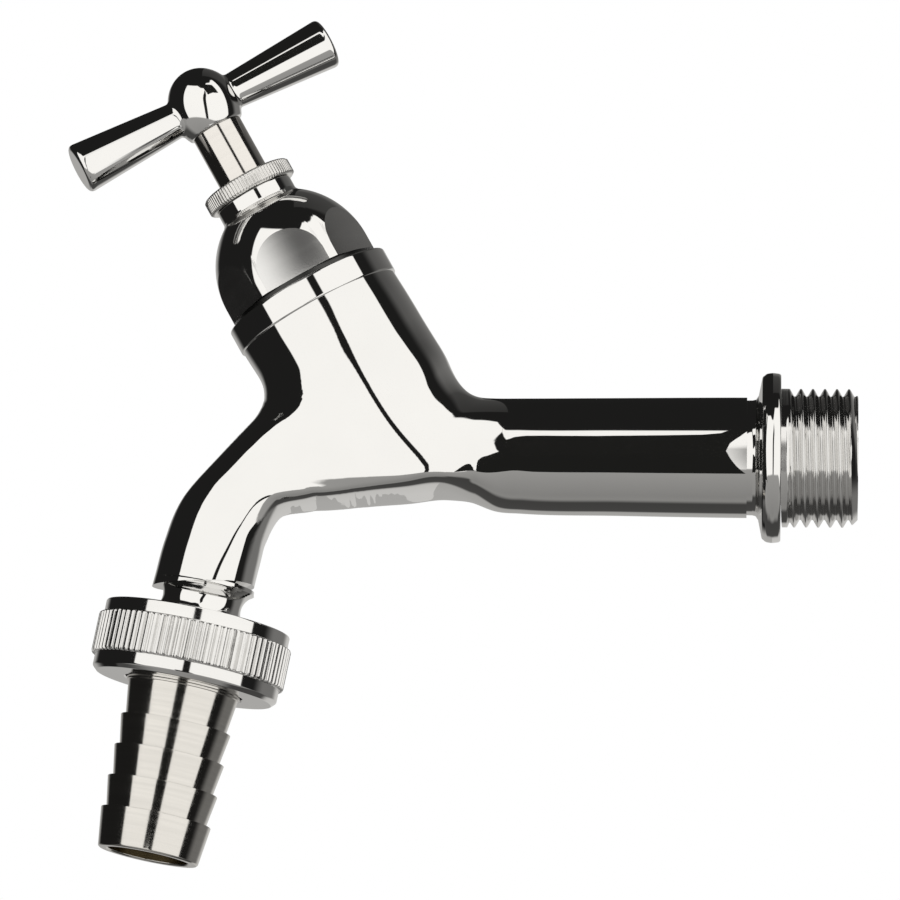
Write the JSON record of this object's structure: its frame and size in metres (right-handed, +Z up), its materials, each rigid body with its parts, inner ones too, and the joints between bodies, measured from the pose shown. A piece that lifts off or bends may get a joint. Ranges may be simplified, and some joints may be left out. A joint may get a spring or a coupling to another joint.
{
  "type": "bib tap",
  "caption": "Chromed bib tap with a leaning screw-down bonnet, tee handle, threaded inlet with flange, curved spout and a union nut with a barbed hose tail.",
  "frame": {"origin": "on the inlet thread's axis, in the flange face that seats on the wall", "axes": "+X along the inlet thread into the wall, +Z up, the spout and handle lie towards -X"},
  "size_m": [0.1199, 0.0296, 0.1299],
  "materials": {
    "cast_chrome": "mirror chrome over polished casting",
    "chrome": "mirror chrome",
    "satin_chrome": "turned satin chrome",
    "nut_chrome": "polished bands, straight knurl",
    "tail_chrome": "turned satin chrome",
    "brass": "turned",
    "rubber": "matt",
    "fibre": "matt vulcanised fibre",
    "packing": "graphited",
    "screw_steel": "blackened"
  },
  "bodies": {
    "tap_body": {"body": "cast_chrome", "bonnet": "chrome", "bonnet_gasket": "fibre", "gland_packing": "packing", "gland_ring": "brass", "gland_nut": "satin_chrome"},
    "valve": {"valve_jumper": "brass", "valve_washer": "rubber", "washer_screw": "brass"},
    "spindle_and_handle": {"spindle": "satin_chrome", "t_handle": "chrome", "handle_grub_screw": "screw_steel"},
    "union_washer": {"tail_washer": "rubber"},
    "union_nut": {"union_nut": "nut_chrome"},
    "hose_tail": {"hose_tail": "tail_chrome"}
  },
  "joints": [
    {"name": "valve_lift", "type": "slide", "parent": "tap_body", "child": "valve", "axis": [-0.4909, 0, 0.8712], "range_m": [0, 0.0055]},
    {"name": "handle_turn", "type": "hinge", "parent": "valve", "child": "spindle_and_handle", "pos_m": [-0.0578, 0, 0], "axis": [-0.4909, 0, 0.8712], "range_deg": [0, 990]},
    {"name": "union_drop", "type": "slide", "parent": "tap_body", "child": "union_washer", "axis": [-0.1942, 0, -0.981], "range_m": [0, 0.00454]},
    {"name": "nut_turn", "type": "hinge", "parent": "union_washer", "child": "union_nut", "pos_m": [-0.0877, 0, -0.0251], "axis": [-0.1942, 0, -0.981], "range_deg": [0, 900]},
    {"name": "tail_swivel", "type": "hinge", "parent": "union_washer", "child": "hose_tail", "pos_m": [-0.0877, 0, -0.0251], "axis": [-0.1942, 0, -0.981], "continuous": true}
  ],
  "couplings": [
    {"joint": "valve_lift", "follows": "handle_turn", "m_per_rad": 0.00031831},
    {"joint": "union_drop", "follows": "nut_turn", "m_per_rad": 0.00028871}
  ]
}
